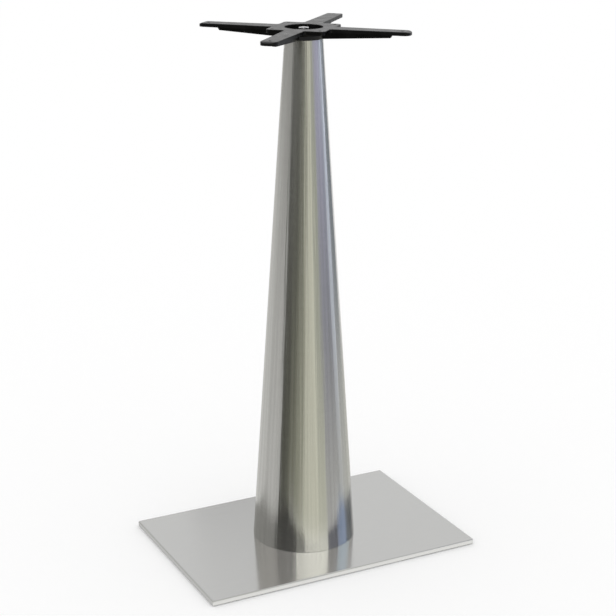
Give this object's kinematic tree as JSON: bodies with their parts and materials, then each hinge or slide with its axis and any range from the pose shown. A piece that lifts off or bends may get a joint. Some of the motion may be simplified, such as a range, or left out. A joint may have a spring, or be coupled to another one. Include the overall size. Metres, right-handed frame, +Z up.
{
  "type": "bar table base",
  "caption": "Bar-height table base: conical brushed steel column on a flat rectangular steel foot, with a black cast cross on top that screws to a table top.",
  "frame": {"origin": "on the floor, under the axis of the column, at the middle of the foot", "axes": "+Z up along the column, +X along the long side of the foot, +Y along its short side"},
  "size_m": [0.6, 0.4, 1.08],
  "materials": {
    "pad_rubber": "matt moulded rubber",
    "ballast_steel": "thin dark primer on cut plate",
    "satin_stainless": "satin ground stainless sheet",
    "brushed_stainless": "fine brushed stainless, brushed round the column",
    "bright_steel": "turned steel",
    "zinc_steel": "bright zinc plate",
    "black_casting": "satin black paint on a fine casting skin"
  },
  "bodies": {
    "root": {"foot_pad_front_left": "pad_rubber", "foot_pad_front_right": "pad_rubber", "foot_pad_rear_left": "pad_rubber", "foot_pad_rear_right": "pad_rubber", "ballast_plate": "ballast_steel", "base_cover": "satin_stainless", "anchor_disc": "bright_steel", "disc_screws": "zinc_steel", "column": "brushed_stainless", "tie_rod": "zinc_steel", "lock_nut": "zinc_steel", "cross": "black_casting", "top_washer": "zinc_steel", "top_nut": "zinc_steel"}
  },
  "joints": []
}
